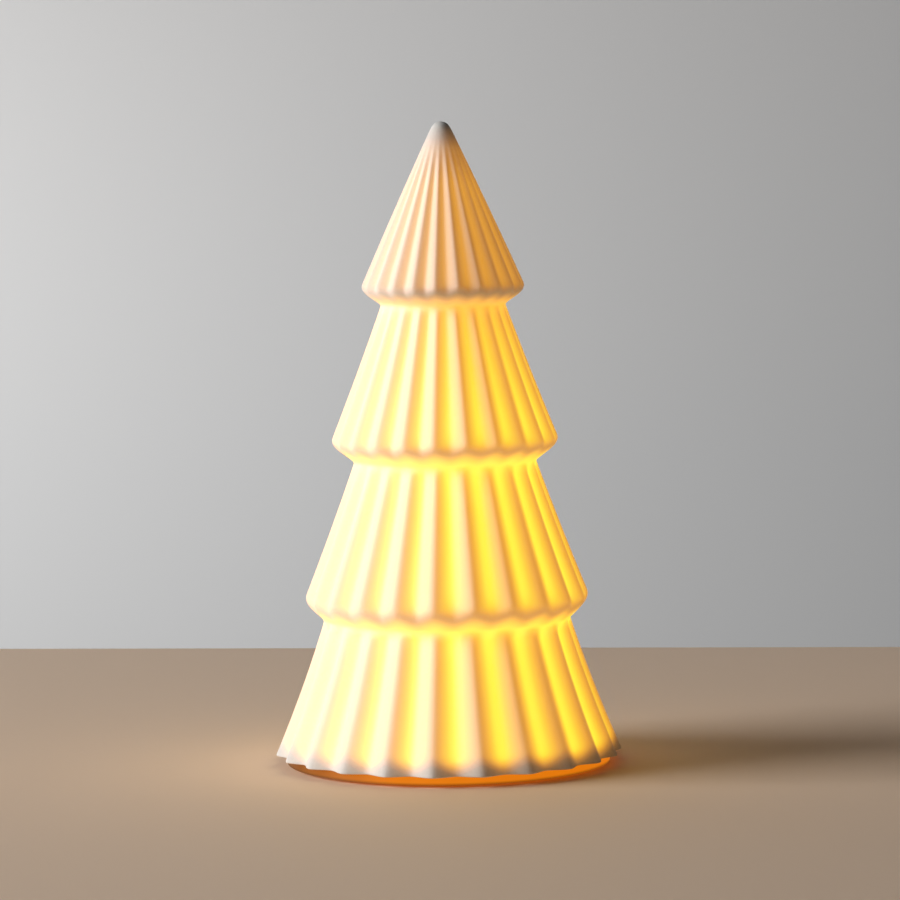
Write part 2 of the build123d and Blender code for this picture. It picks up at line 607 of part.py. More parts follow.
# Six round-topped LEDs in a ring, each on its own pair of leads
for k in range(LEDS):
    place = on_ring(LED_RING_RADIUS, k * 360 / LEDS)
    dome_centre = LED_BOTTOM + LED_LENGTH - LED_RADIUS
    with BuildPart() as led:
        rounds([place], LED_COLLAR_RADIUS, LED_BOTTOM, LED_BOTTOM + LED_COLLAR_HEIGHT)
        rounds([place], LED_RADIUS, LED_BOTTOM, dome_centre)
        with Locations((*place, dome_centre)):
            Sphere(LED_RADIUS)
    save(led.part, f"led_{k + 1}")
    with BuildPart() as led_leads:
        with BuildSketch(Plane.XY.offset(BOARD_BOTTOM - LEAD_TAIL)):
            with PolarLocations(LED_RING_RADIUS, 1, start_angle=k * 360 / LEDS):
                with GridLocations(0, LEAD_PITCH, 1, 2):
                    Rectangle(LEAD_THICKNESS, LEAD_THICKNESS)
        extrude(amount=LED_BOTTOM - BOARD_BOTTOM + LEAD_TAIL)
    save(led_leads.part, f"led_leads_{k + 1}")

# Small parts on the board
with BuildPart() as timer_chip:
    block(CHIP_LENGTH, CHIP_WIDTH, BOARD_TOP, BOARD_TOP + CHIP_HEIGHT)
    for k in range(CHIP_LEGS):
        block(
            CHIP_LEG_WIDTH, CHIP_WIDTH + 2 * CHIP_LEG_REACH, BOARD_TOP, BOARD_TOP + CHIP_LEG_HEIGHT,
            x=(k - (CHIP_LEGS - 1) / 2) * CHIP_LEG_PITCH)
save(timer_chip.part, "timer_chip")

for k, side in enumerate((-1, 1)):
    with BuildPart() as resistor:
        block(RESISTOR_LENGTH, RESISTOR_WIDTH, BOARD_TOP, BOARD_TOP + RESISTOR_HEIGHT, y=side * RESISTOR_OFFSET)
    save(resistor.part, f"resistor_{k + 1}")

with BuildPart() as capacitor:
    rounds([(-CAPACITOR_OFFSET, 0)], CAPACITOR_RADIUS, BOARD_TOP, BOARD_TOP + CAPACITOR_HEIGHT)
save(capacitor.part, "capacitor")

# Slide switch: a can on a bracket, with a race under it for the knob's neck
with BuildPart() as switch_body:
    block(BRACKET_LENGTH, SWITCH_CAN_WIDTH, PLATEAU_TOP, BRACKET_SEAT, y=SWITCH_Y)
    block(SWITCH_CAN_LENGTH, SWITCH_CAN_WIDTH, PLATEAU_TOP, SWITCH_TOP, y=SWITCH_Y)
    rounds(BRACKET_SCREWS, SCREW_SHANK_RADIUS + SCREW_HOLE_GAP, PLATEAU_TOP, BRACKET_SEAT, Mode.SUBTRACT)
    block(RACE_LENGTH, RACE_WIDTH, PLATEAU_TOP, PLATEAU_TOP + SWITCH_RACE_DEPTH, y=SWITCH_Y, mode=Mode.SUBTRACT)
    for side in (-1, 1):
        block(
            TERMINAL_SIZE, TERMINAL_SIZE, SWITCH_TOP, SWITCH_TOP + TERMINAL_HEIGHT,
            x=side * TERMINAL_PITCH / 2, y=SWITCH_Y)
save(switch_body.part, "switch_body")

with BuildPart() as switch_screws:
    pan_screws(BRACKET_SCREWS, BRACKET_SEAT)
save(switch_screws.part, "switch_screws")

# Switch knob, at the end of its race where the light is on
with BuildPart() as switch_knob:
    knob_top = SWITCH_WELL_TOP - KNOB_GAP
    knob_bottom = knob_top - KNOB_HEIGHT
    block(KNOB_LENGTH, KNOB_WIDTH, knob_bottom, knob_top, x=KNOB_X, y=SWITCH_Y)
    block(
        KNOB_NECK_LENGTH, KNOB_NECK_WIDTH, knob_top, PLATEAU_TOP + SWITCH_RACE_DEPTH - KNOB_GAP,
        x=KNOB_X, y=SWITCH_Y)
    for k in range(KNOB_RIBS):
        block(
            KNOB_RIB_WIDTH, KNOB_WIDTH, knob_bottom, knob_bottom + KNOB_RIB_DEPTH,
            x=KNOB_X + (k - (KNOB_RIBS - 1) / 2) * KNOB_RIB_PITCH, y=SWITCH_Y, mode=Mode.SUBTRACT)
save(switch_knob.part, "switch_knob")


def corner_radii(points):
    """Largest handy arc at each corner of a lead, from its turn and the shorter run beside it."""
    radii = []
    for before, corner, after in zip(points, points[1:], points[2:]):
        run_in = Vector(corner) - Vector(before)
        run_out = Vector(after) - Vector(corner)
        shorter_half_share = 0.45
        turn = radians(run_in.get_angle(run_out))
        radii.append(shorter_half_share * min(run_in.length, run_out.length) / tan(turn / 2))
    return radii


def lead(start, end):
    """Insulated wire that rises from its terminal, arches over and comes down on the board."""
    over = [(*start[:2], LEAD_TOP), (*end[:2], LEAD_TOP)]
    points = [start, *over, end]
    with BuildPart() as wire:
        with BuildLine() as route:
            FilletPolyline(*points, radius=corner_radii(points))
        with BuildSketch(Plane(origin=route.line @ 0, z_dir=route.line % 0)):
            Circle(LEAD_RADIUS)
        sweep(path=route.line)
    length = route.wire().length
    print("lead length", round(length, 1), "tube volume", round(length * pi * LEAD_RADIUS ** 2, 1))
    return wire.part


tab_x = CONTACT_FACE + CONTACT_THICKNESS / 2
tab_top = HOLDER_ROOF + TAB_RISE
red_lead = lead((tab_x, CELL_ROWS[0], tab_top), (LEAD_BOARD_X, -LEAD_BOARD_Y, BOARD_TOP))
save(red_lead, "red_lead")
black_lead = lead((-tab_x, CELL_ROWS[-1], tab_top), (-LEAD_BOARD_X, LEAD_BOARD_Y, BOARD_TOP))
save(black_lead, "black_lead")
for k, side in enumerate((-1, 1)):
    terminal_x = side * TERMINAL_PITCH / 2
    switch_lead = lead(
        (terminal_x, SWITCH_Y, SWITCH_TOP + TERMINAL_HEIGHT), (terminal_x, -SWITCH_LEAD_BOARD_Y, BOARD_TOP))
    save(switch_lead, f"switch_lead_{k + 1}")
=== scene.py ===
# %% [markdown]
# # A lit porcelain tree
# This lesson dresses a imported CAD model. The ceramic shell is one hollow cast piece with four fluted
# tiers, and small warm lamps in its base shine through the wall. We keep the CAD pieces as they are
# where their shape is right, and rebuild only the shell, because a cast piece has no sharp edges.

# %% Load the frame
import json
from collections import namedtuple
import bpy
import numpy as np
from mathutils import Matrix, Vector


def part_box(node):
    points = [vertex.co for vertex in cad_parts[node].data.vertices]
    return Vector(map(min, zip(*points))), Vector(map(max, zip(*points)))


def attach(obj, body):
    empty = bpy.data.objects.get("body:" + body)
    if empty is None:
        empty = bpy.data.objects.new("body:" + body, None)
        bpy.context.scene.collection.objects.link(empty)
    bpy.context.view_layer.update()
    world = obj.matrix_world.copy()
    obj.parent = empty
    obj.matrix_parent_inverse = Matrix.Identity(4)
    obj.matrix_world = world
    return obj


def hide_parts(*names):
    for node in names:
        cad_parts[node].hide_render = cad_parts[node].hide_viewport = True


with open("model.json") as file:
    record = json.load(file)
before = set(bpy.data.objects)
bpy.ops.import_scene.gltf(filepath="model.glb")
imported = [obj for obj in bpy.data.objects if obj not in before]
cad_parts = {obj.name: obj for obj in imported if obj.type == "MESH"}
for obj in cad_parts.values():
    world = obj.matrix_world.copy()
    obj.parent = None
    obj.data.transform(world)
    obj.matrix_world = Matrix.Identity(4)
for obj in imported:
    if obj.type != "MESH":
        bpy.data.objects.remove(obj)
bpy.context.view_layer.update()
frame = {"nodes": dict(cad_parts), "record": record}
MM = 0.001

# %% [markdown]
# ## The tiers
# Each tier is a cone that widens downwards, ends in a round hem, and tucks back in to a narrow neck.
# A table of radii and heights in millimetres is all that the outline needs, counted from the rim, whose
# height comes from the CAD piece. Sag draws a side in at mid height, and the top tier bulges instead.

# %% Radii and heights of the tiers
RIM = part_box("tree_shell")[0][2] / MM
NECKS = RIM + np.array([167.8, 109.4, 50.5])
HEMS = NECKS + np.array([5.4, 6.7, 7.0])
APEX = RIM + 240.8
Tier = namedtuple("Tier", "top_r top_z hem_r hem_z neck_r neck_z sag")
TIERS = [
    Tier(0.0, APEX, 31.1, HEMS[0], 23.1, NECKS[0], -0.3),
    Tier(23.1, NECKS[0], 43.0, HEMS[1], 33.9, NECKS[1], 0.3),
    Tier(33.9, NECKS[1], 53.7, HEMS[2], 46.0, NECKS[2], 0.3),
    Tier(46.0, NECKS[2], 65.0, RIM, 65.0, RIM, 0.75),
]
FLUTES = 23
FIRST_RIDGE = np.radians(-95.4)
GROOVE_SHARE = 0.054
print("tiers", len(TIERS), "flutes", FLUTES)

# %% [markdown]
# ## Soft joins
# A mould maker rounds every inside and outside corner so that the cast lets go. Instead of adding
# bevels later, we can round corners in the formula itself: a soft minimum follows the smaller of two
# surfaces and blends them where they cross. A smooth step fades one thing in over a stretch of height.

# %% Soft minimum, soft maximum and smooth step
HEM_BLEND, NECK_BLEND = 4.8, 1.2


def soft_min(a, b, width):
    """The smaller of a and b, less a parabola that is a quarter of the width deep where they cross."""
    near = np.clip(width - np.abs(a - b), 0, None) / width
    return np.minimum(a, b) - near * near * width / 4


def soft_max(a, b, width):
    """The larger of a and b, with the crossing filled in the same way."""
    return -soft_min(-a, -b, width)


def smooth_step(start, end, x):
    """Nought before the start, one after the end, and an S curve between."""
    t = np.clip((x - start) / (end - start), 0, 1)
    return t * t * (3 - 2 * t)


print("cut at a hem", -soft_min(0.0, 0.0, HEM_BLEND), "filling at a neck", soft_max(0.0, 0.0, NECK_BLEND))

# %% [markdown]
# ## The flutes
# Looked at from above, the tree is a pleated ring: two nearly flat faces make a groove, and they meet in
# narrow ridges. One number per angle is enough. It is nought on a ridge and one in the middle of a
# groove. Ridge and groove are rounded by bending the distance to each with a small square root. The
# mould was cut by hand, so on one side the flutes drift round by a small share of a flute.

# %% Groove shape round the tree
RIDGE_SOFTNESS, GROOVE_SOFTNESS = 0.085, 0.09
DRIFT = 0.085
DRIFT_RISE, DRIFT_FALL = (0, 2), (5, 12)  # counted in flutes from the first ridge


def eased(distance, softness):
    """sqrt(d^2 + e^2) - e, which leaves nought gently and then grows evenly."""
    return np.hypot(distance, softness) - softness


def groove(angle):
    """a / (a + b), where a is the eased share of a flute from its ridge, and b from its groove's middle."""
    flute = ((angle - FIRST_RIDGE) * FLUTES / (2 * np.pi)) % FLUTES
    drift = DRIFT * smooth_step(*DRIFT_RISE, flute) * (1 - smooth_step(*DRIFT_FALL, flute))
    turn = (flute - drift) % 1.0
    from_ridge = np.minimum(turn, 1 - turn)
    a = eased(from_ridge, RIDGE_SOFTNESS)
    b = eased(0.5 - from_ridge, GROOVE_SOFTNESS)
    return a / (a + b)


print("groove at ridge and middle", groove(FIRST_RIDGE), groove(FIRST_RIDGE + np.pi / FLUTES))

# %% [markdown]
# ## One tier
# A tier has two surfaces: a fluted side that falls from its top to its hem, and a plain underside that
# runs back in from the hem to the neck. Each gives a radius for a height. The flutes cut away a share of
# the radius, so they grow with the tier, and they fade out below each neck and near the tip.

# %% Side and underside of a tier
NECK_FADE = (-1.0, 4.5)
TIP_FADE = (11.0, 27.0)


def tier_side(tier, angle, z):
    """Straight line from the tier's top to its hem, less the sag, less the groove's share of the radius."""
    drop = tier.top_z - z
    length = tier.top_z - tier.hem_z
    s = np.clip(drop / length, 0, 1)
    ridge = tier.top_r + (tier.hem_r - tier.top_r) / length * drop - tier.sag * 4 * s * (1 - s)
    start, end = TIP_FADE if tier.top_r == 0 else NECK_FADE
    return ridge * (1 - GROOVE_SHARE * smooth_step(start, end, drop) * groove(angle))


def tier_under(tier, z):
    """Plain slope from the neck out to the hem."""
    slope = (tier.hem_r - tier.neck_r) / (tier.hem_z - tier.neck_z)
    return tier.neck_r + slope * (z - tier.neck_z)


print("ridge radius half way down each tier", [
    round(float(tier_side(tier, FIRST_RIDGE, (tier.top_z + tier.hem_z) / 2)), 1) for tier in TIERS])

# %% [markdown]
# ## The outside of the shell
# For every angle and height we ask each tier for its radius and keep the largest. Inside one tier the
# radius is the soft minimum of side and underside, so the hem comes out round and its lower edge runs in
# scallops, lowest at the grooves. The tip is a ball that touches the cone, and the rim's edge is eased.

# %% Radius for an angle and a height
RIM_EASE, RIM_TURN = 0.6, 0.96
TIP_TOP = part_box("tree_shell")[1][2] / MM
TIP_LEAN = np.arctan(TIERS[0].hem_r / (APEX - HEMS[0]))
TIP_ROUND = (APEX - TIP_TOP) / (1 / np.sin(TIP_LEAN) - 1)
TIP_CENTRE = TIP_TOP - TIP_ROUND
TIP_START = TIP_CENTRE + TIP_ROUND * np.sin(TIP_LEAN)


def outside(angle, z):
    """Largest of the four tiers, with the tip swept round and the foot's edge eased."""
    radius = tier_side(TIERS[3], angle, z)
    for tier in reversed(TIERS[:3]):
        hemmed = soft_min(tier_side(tier, angle, z), tier_under(tier, z), HEM_BLEND)
        radius = soft_max(radius, hemmed, NECK_BLEND)
    ball = np.sqrt(np.clip(TIP_ROUND ** 2 - (z - TIP_CENTRE) ** 2, 0, None))
    foot = np.clip((RIM + RIM_EASE - z) / RIM_EASE, 0, 1)
    rim_cut = RIM_EASE * (1 - np.sqrt(1 - RIM_TURN * foot * foot))
    return np.where(z > TIP_START, ball, radius) - rim_cut


widest = float(outside(FIRST_RIDGE, np.array(RIM + RIM_EASE)))
print("widest", round(widest, 2), "tip round", round(TIP_ROUND, 2))

# %% [markdown]
# ## Rows and columns
# The outside becomes a grid of angles and heights. An even grid would waste points on the straight
# sides and have too few where a hem turns, so rows are packed closer there, at the rim and at the tip.
# Sixteen columns for each flute are enough to show two faces and the round between them.

# %% Grid of the outside
COLUMNS_PER_FLUTE, RIM_ROWS, CAP_ROWS = 16, 5, 10
SIDE_STEP, TURN_STEP = 1.55, 0.62
TURN_BELOW, TURN_ABOVE = 3, 6
CAP_GAP = 0.12
COLUMNS = FLUTES * COLUMNS_PER_FLUTE
rim_rows = np.linspace(RIM, RIM + RIM_EASE, RIM_ROWS)
cap_rows = TIP_CENTRE + TIP_ROUND * np.sin(np.linspace(TIP_LEAN, np.pi / 2 - CAP_GAP, CAP_ROWS))
turns = [np.arange(neck - TURN_BELOW, hem + TURN_ABOVE, TURN_STEP) for neck, hem in zip(NECKS, HEMS)]
lows = [RIM + RIM_EASE, *(HEMS[::-1] + TURN_ABOVE)]
highs = [*(NECKS[::-1] - TURN_BELOW), TIP_START]
sides = [np.arange(low, high, SIDE_STEP) for low, high in zip(lows, highs)]
heights = np.unique(np.concatenate([rim_rows, cap_rows, *turns, *sides]).round(2))
angles = np.linspace(0, 2 * np.pi, COLUMNS, endpoint=False)
angle_grid, z_out = np.meshgrid(angles, heights)
r_out = outside(angle_grid, z_out)
print("rows outside", len(heights), "columns", COLUMNS)

# %% [markdown]
# ## The hollow
# Slip casting leaves a wall of even thickness, so the inside is a plain turned hollow that follows the
# tiers. Its corners are worked out from the tiers, from the solid tip down to the bore round the base
# plate, and rows are spread evenly between them. They go below the rows of the outside in one grid.

# %% Grid of the hollow
WALL_THICKNESS, BORE, BORE_HEIGHT, SOLID_TIP = 3.0, 54.6, 11.0, 24.0
INSIDE_ROWS = 33
corners = [(TIP_ROUND, APEX - SOLID_TIP)]
for tier in TIERS[:3]:
    corners.append((tier.hem_r * (1 - GROOVE_SHARE) - 2 * WALL_THICKNESS, tier.hem_z + WALL_THICKNESS))
    corners.append((tier.neck_r * (1 - GROOVE_SHARE) - WALL_THICKNESS, tier.neck_z))
corners = np.array(corners + [(BORE, RIM + BORE_HEIGHT), (BORE, RIM)])
steps = np.linspace(0, len(corners) - 1, INSIDE_ROWS)
inside_r, inside_z = [np.interp(steps, np.arange(len(corners)), column) for column in corners.T]


def with_inside(outer_grid, inner_column):
    """The grid of the outside, and below it a column of the hollow repeated for every angle."""
    return np.vstack([outer_grid, np.repeat(inner_column[:, None], COLUMNS, 1)])


z_all = with_inside(z_out, inside_z)
r_all = with_inside(r_out, inside_r)
print("rows inside", len(inside_z))

# %% [markdown]
# ## Light lost at the hems
# The clay is thickest where a hem turns, and less lamp light comes through there. The hem lies where
# side and underside cross, so the difference of their radii says how far a point is from it. A bell of
# that distance gives the loss, and it stops at the neck below, where the next tier starts.

# %% Dip along each hem
HEM_DIPS = (0.66, 0.56, 0.56)
HEM_SPREAD, HEM_SHIFT = 3.4, 1.0
NECK_LOW, NECK_HIGH = -0.5, 0.8


def hem_dip(angle, z):
    """Deepest of the three hems' dips, each a bell across its hem that ends at the neck below."""
    deepest = np.zeros_like(z)
    for tier, depth in zip(TIERS, HEM_DIPS):
        past = tier_side(tier, angle, z) - tier_under(tier, z) - HEM_SHIFT
        dip = depth * np.exp(1 - np.hypot(1, past / HEM_SPREAD))
        above_neck = smooth_step(tier.neck_z + NECK_LOW, tier.neck_z + NECK_HIGH, z)
        deepest = np.maximum(deepest, dip * above_neck)
    return deepest


print("deepest dip", round(float(hem_dip(angle_grid, z_out).max()), 2))

# %% [markdown]
# ## How bright the wall glows
# Light from the base reaches the wall everywhere, and the thin clay in a groove lets far more of it
# through than a thick ridge or hem. We store one number per vertex: how much light comes through. It
# falls off with height, fades at the thick foot and in the solid tip, and peaks on the smooth necks. In
# the hollow it is even round the tree.

# %% Glow for each vertex
THROUGH_HEIGHTS = RIM + np.array([0, 107, 127, 157, 168, 173, 177, 212, 225, 234])
THROUGH_SHARES = [1.0, 1.0, 0.97, 0.87, 0.76, 0.62, 0.58, 0.56, 0.40, 0.0]
RIDGE_LOSS, HEM_MELT = 0.285, 0.25
FOOT_SHARE, FOOT_START, FOOT_LIFT, FOOT_FADE = 0.12, -0.8, 2.0, 7.0
INSIDE_HEIGHTS = RIM + np.array([0, 30, 110, 217])
INSIDE_SHARES = [0.26, 0.46, 0.40, 0.24]


def glow_of(angle, z):
    """Light at this height, times the lesser of thin clay and what a hem leaves, times a dip at the foot."""
    ridge_height = outside(FIRST_RIDGE, z) - outside(FIRST_RIDGE + np.pi / FLUTES, z)
    thick = 1 - groove(angle)
    thin = 1 - RIDGE_LOSS * np.sqrt(np.clip(ridge_height, 0, None)) * thick
    lit_from = RIM + FOOT_START + FOOT_LIFT * thick
    foot = FOOT_SHARE + (1 - FOOT_SHARE) * smooth_step(lit_from, lit_from + FOOT_FADE, z)
    through = np.interp(z, THROUGH_HEIGHTS, THROUGH_SHARES)
    return through * soft_min(thin, 1 - hem_dip(angle, z), HEM_MELT) * foot


inside_glow = np.interp(inside_z, INSIDE_HEIGHTS, INSIDE_SHARES)
glow = with_inside(glow_of(angle_grid, z_out), inside_glow)
print("glow from", round(float(glow.min()), 2), "to", round(float(glow.max()), 2))

# %% [markdown]
# ## From grid to faces
# A grid of points becomes faces by joining each point to its neighbours, the last column to the first.
# Whole arrays do this at once. Outside and hollow meet in a ring of faces at the rim, and the two tops
# are fans of triangles round one extra point each.

# %% Points and faces of the shell
points = np.stack([r_all * np.cos(angles), r_all * np.sin(angles), z_all], -1).reshape(-1, 3)
tip, roof = len(points), len(points) + 1
points = np.vstack([points, [(0, 0, TIP_TOP), (0, 0, inside_z[0])]]) * MM
index = np.arange(z_all.size).reshape(z_all.shape)
turned = np.roll(index, -1, axis=1)
outer = len(heights)


def quads(lower, upper):
    """Four-sided faces between rows of points and the rows that follow them, all the same way round."""
    return np.stack([index[lower], turned[lower], turned[upper], index[upper]], -1).reshape(-1, 4)


outer_rows, inner_rows = np.arange(outer - 1), np.arange(outer, len(index) - 1)
walls = [quads(outer_rows, outer_rows + 1), quads(inner_rows, inner_rows + 1), quads(-1, 0)]
tip_fan = np.stack([index[outer - 1], turned[outer - 1], np.full(COLUMNS, tip)], -1)
roof_fan = np.stack([turned[outer], index[outer], np.full(COLUMNS, roof)], -1)
faces = [*np.vstack(walls).tolist(), *tip_fan.tolist(), *roof_fan.tolist()]
print("points", len(points), "faces", len(faces))

# %% [markdown]
# ## The shell as a piece
# The mesh takes the points and faces, smooth shading, and the glow as an attribute on the same vertices,
# so that the material can read it. The piece then rides on the body that lifts off the base, and the CAD
# shell is hidden.

# %% Build the shell
shell_mesh = bpy.data.meshes.new("tree_shell_cast")
shell_mesh.from_pydata(points.tolist(), [], faces)
shell_mesh.polygons.foreach_set("use_smooth", np.ones(len(faces), bool))
stored = shell_mesh.attributes.new("glow", "FLOAT", "POINT")
stored.data.foreach_set("value", np.append(glow.ravel(), [0.0, inside_glow[0]]).astype(np.float32))
shell = bpy.data.objects.new("tree_shell_cast", shell_mesh)
bpy.context.collection.objects.link(shell)
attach(shell, "shell")
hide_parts("tree_shell")
print("shell vertices", len(shell_mesh.vertices))

# %% [markdown]
# ## Small helpers for shader nodes
# Node trees get long when every link is written out. Two short functions keep the later cells
# readable: one adds a node and fills its inputs, the other starts a material with its shader. An
# input may be given a plain value or another node's output.

# %% Node helpers
def add(tree, kind, inputs=(), **settings):
    """Add one node, set its options, then fill its inputs with values or links."""
    node = tree.nodes.new(kind)
    for key, value in settings.items():
        setattr(node, key, value)
    for key, value in dict(inputs).items():
        if isinstance(value, bpy.types.NodeSocket):
            tree.links.new(value, node.inputs[key])
        else:
            node.inputs[key].default_value = value
    return node


def start(name, constants=()):
    """New material, its node tree and its main shader, with constant inputs set on the shader itself."""
    material = bpy.data.materials.new(name)
    material.use_nodes = True
    shader = material.node_tree.nodes["Principled BSDF"]
    for key, value in dict(constants).items():
        shader.inputs[key].default_value = value
    return material, material.node_tree, shader


print("helpers", add.__name__, start.__name__)

# %% [markdown]
# ## Short names for common nodes
# Nearly every finish below does sums on numbers, blends two colours, turns a range into a mask and asks
# where the point lies. Each of these is one or two nodes with numbered sockets, which are hard to
# remember. A function with a plain name hides the numbers, and hands back the output to link on.

# %% Sums, blends, ranges and places
def calc(tree, operation, a, b=0.0):
    """One sum on two numbers or links."""
    return add(tree, "ShaderNodeMath", {0: a, 1: b}, operation=operation).outputs[0]


def blend(tree, share, first, second):
    """Colour that goes from the first to the second as the share goes from nought to one."""
    return add(tree, "ShaderNodeMix", {0: share, 6: first, 7: second}, data_type="RGBA").outputs[2]


def remap(tree, value, first, last, low=0.0, high=1.0, curve="LINEAR"):
    """Number that goes from low to high as the value goes from first to last, and stays there beyond."""
    inputs = {0: value, 1: first, 2: last, 3: low, 4: high}
    return add(tree, "ShaderNodeMapRange", inputs, interpolation_type=curve).outputs[0]


def coordinates(tree):
    """The three object coordinates of the point that is being shaded."""
    place = add(tree, "ShaderNodeTexCoord").outputs["Object"]
    return add(tree, "ShaderNodeSeparateXYZ", {0: place}).outputs


print("short names", calc.__name__, blend.__name__, remap.__name__, coordinates.__name__)

# %% [markdown]
# ## A shared grain
# Fired clay, moulded plastic and rubber all have a fine uneven skin. One node group makes it for all
# of them: noise in object space picks between two close colours, moves the roughness a little, and
# gives a height for a bump. The material chooses the colours and the size of the grain.

# %% Node group for fine grain
def new_group(name, inputs, outputs):
    """Empty shader group, with the sockets that hold its named inputs and those for its outputs."""
    group = bpy.data.node_groups.new(name, "ShaderNodeTree")
    for label, kind in inputs:
        group.interface.new_socket(label, in_out="INPUT", socket_type=kind)
    for label, kind in outputs:
        group.interface.new_socket(label, in_out="OUTPUT", socket_type=kind)
    return group, group.nodes.new("NodeGroupInput").outputs, group.nodes.new("NodeGroupOutput").inputs


NUMBER, COLOUR = "NodeSocketFloat", "NodeSocketColor"
GRAIN_DETAIL, GRAIN_ROUGHNESS = 6.0, 0.62
GRAIN_LOW, GRAIN_HIGH = 0.3, 0.7
grain, given, result = new_group(
    "fine_grain",
    [("Light", COLOUR), ("Dark", COLOUR), ("Scale", NUMBER), ("Smooth", NUMBER), ("Rough", NUMBER)],
    [("Color", COLOUR), ("Roughness", NUMBER), ("Height", NUMBER)])
place = add(grain, "ShaderNodeTexCoord").outputs["Object"]
noise = add(
    grain, "ShaderNodeTexNoise",
    {"Vector": place, "Scale": given["Scale"], "Detail": GRAIN_DETAIL, "Roughness": GRAIN_ROUGHNESS},
).outputs["Fac"]
spread = remap(grain, noise, GRAIN_LOW, GRAIN_HIGH)
rough = remap(grain, noise, GRAIN_LOW, GRAIN_HIGH, given["Smooth"], given["Rough"])
grain.links.new(blend(grain, spread, given["Dark"], given["Light"]), result["Color"])
grain.links.new(rough, result["Roughness"])
grain.links.new(noise, result["Height"])
print("group", grain.name, "nodes", len(grain.nodes))

# %% [markdown]
# ## Using the grain
# Most small pieces need nothing else: a base colour with its slightly darker partner, a roughness
# range and a bump as fine as the real skin. This function makes such a material and hands back its
# parts, so that a cell can add what is special about one piece.

# %% Grained material
BUMP_DEPTH = 0.4 * MM


def grained(name, light, dark, scale, smooth, rough, bump, constants=()):
    """Material whose colour, roughness and bump come from the shared grain."""
    material, tree, shader = start(name, constants)
    values = {"Light": (*light, 1), "Dark": (*dark, 1), "Scale": scale, "Smooth": smooth, "Rough": rough}
    skin = add(tree, "ShaderNodeGroup", node_tree=grain)
    for key, value in values.items():
        skin.inputs[key].default_value = value
    relief = add(
        tree, "ShaderNodeBump",
        {"Height": skin.outputs["Height"], "Strength": bump, "Distance": BUMP_DEPTH})
    tree.links.new(skin.outputs["Color"], shader.inputs["Base Color"])
    tree.links.new(skin.outputs["Roughness"], shader.inputs["Roughness"])
    tree.links.new(relief.outputs[0], shader.inputs["Normal"])
    return material, tree, shader, skin.outputs["Color"]


looks = {}
print("bump depth in millimetres", round(BUMP_DEPTH / MM, 2))

# %% [markdown]
# ## Bisque porcelain
# Unglazed porcelain is chalk white and quite matt, with a grain finer than a fingertip can feel. The
# glow attribute drives a colour ramp: thick clay passes a deep orange, thin clay a strong yellow. The
# same number also paints a warm yellow into the surface colour, as painted lamp light, so that daylight
# shows less on a wall that is lit through.

# %% Porcelain with lamp light coming through
LAMP_NONE, LAMP_FULL = (0.0, 0.0, 0.0, 1), (1.0, 0.98, 0.03, 1)
LAMP_STEPS = {
    0.2: (0.16, 0.06, 0.004, 1), 0.4: (0.45, 0.17, 0.006, 1),
    0.6: (0.80, 0.34, 0.008, 1), 0.8: (0.95, 0.56, 0.01, 1),
}
PAINTED_GLOW_TINT = (0.80, 0.55, 0.05, 1)
PAINTED_GLOW_START, PAINTED_GLOW_MOST = 0.3, 0.06
porcelain, tree, shader, clay = grained(
    "bisque_porcelain", light=(0.80, 0.785, 0.755), dark=(0.75, 0.735, 0.705), scale=900.0,
    smooth=0.62, rough=0.78, bump=0.10, constants={"Specular IOR Level": 0.3, "Emission Strength": 0.96})
amount = add(tree, "ShaderNodeAttribute", attribute_name="glow").outputs["Fac"]
lamp_light = add(tree, "ShaderNodeValToRGB", {"Fac": amount})
ramp = lamp_light.color_ramp
ramp.elements[0].position, ramp.elements[0].color = 0.0, LAMP_NONE
ramp.elements[1].position, ramp.elements[1].color = 1.0, LAMP_FULL
for position, colour in LAMP_STEPS.items():
    ramp.elements.new(position).color = colour
# where the glow is strong, the base colour is painted towards warm yellow: painted lamp light in the white
# clay's colour
painted_glow_share = remap(tree, amount, PAINTED_GLOW_START, 1.0, 0.0, PAINTED_GLOW_MOST)
tree.links.new(blend(tree, painted_glow_share, clay, PAINTED_GLOW_TINT), shader.inputs["Base Color"])
tree.links.new(lamp_light.outputs["Color"], shader.inputs["Emission Color"])
looks["bisque_porcelain"] = porcelain
shell_mesh.materials.append(porcelain)
print("ramp stops", [round(e.position, 2) for e in ramp.elements])

# %% [markdown]
# ## A mask by distance from an axis
# The edge of the base plate glows, the rim of the circuit board is bare, and a lamp's lens is whitest
# at its top. All three need a mask that switches over at some distance from the tree's axis, or at some
# height. This group measures both, and turns each into a mask with a soft change-over.

# %% Node group for radius and height masks
def from_axis(tree, spot):
    """Root of x squared plus y squared: how far a point is from the tree's axis."""
    squares = [calc(tree, "MULTIPLY", spot[n], spot[n]) for n in (0, 1)]
    return calc(tree, "SQRT", calc(tree, "ADD", *squares))


zone, given, result = new_group(
    "zone_mask", [("Radius", NUMBER), ("Radius End", NUMBER), ("Low", NUMBER), ("High", NUMBER)],
    [("Outer", NUMBER), ("Upper", NUMBER)])
spot = coordinates(zone)
outward = remap(zone, from_axis(zone, spot), given["Radius"], given["Radius End"], curve="SMOOTHSTEP")
upward = remap(zone, spot[2], given["Low"], given["High"], curve="SMOOTHSTEP")
zone.links.new(outward, result["Outer"])
zone.links.new(upward, result["Upper"])


def zones(tree, radius=(0.0, 1.0), height=(0.0, 1.0)):
    """The outer and the upper mask. Each changes over between two lengths, in millimetres."""
    node = add(tree, "ShaderNodeGroup", node_tree=zone)
    for key, value in zip(("Radius", "Radius End", "Low", "High"), (*radius, *height)):
        node.inputs[key].default_value = value * MM
    return node.outputs["Outer"], node.outputs["Upper"]


print("group", zone.name, "nodes", len(zone.nodes))
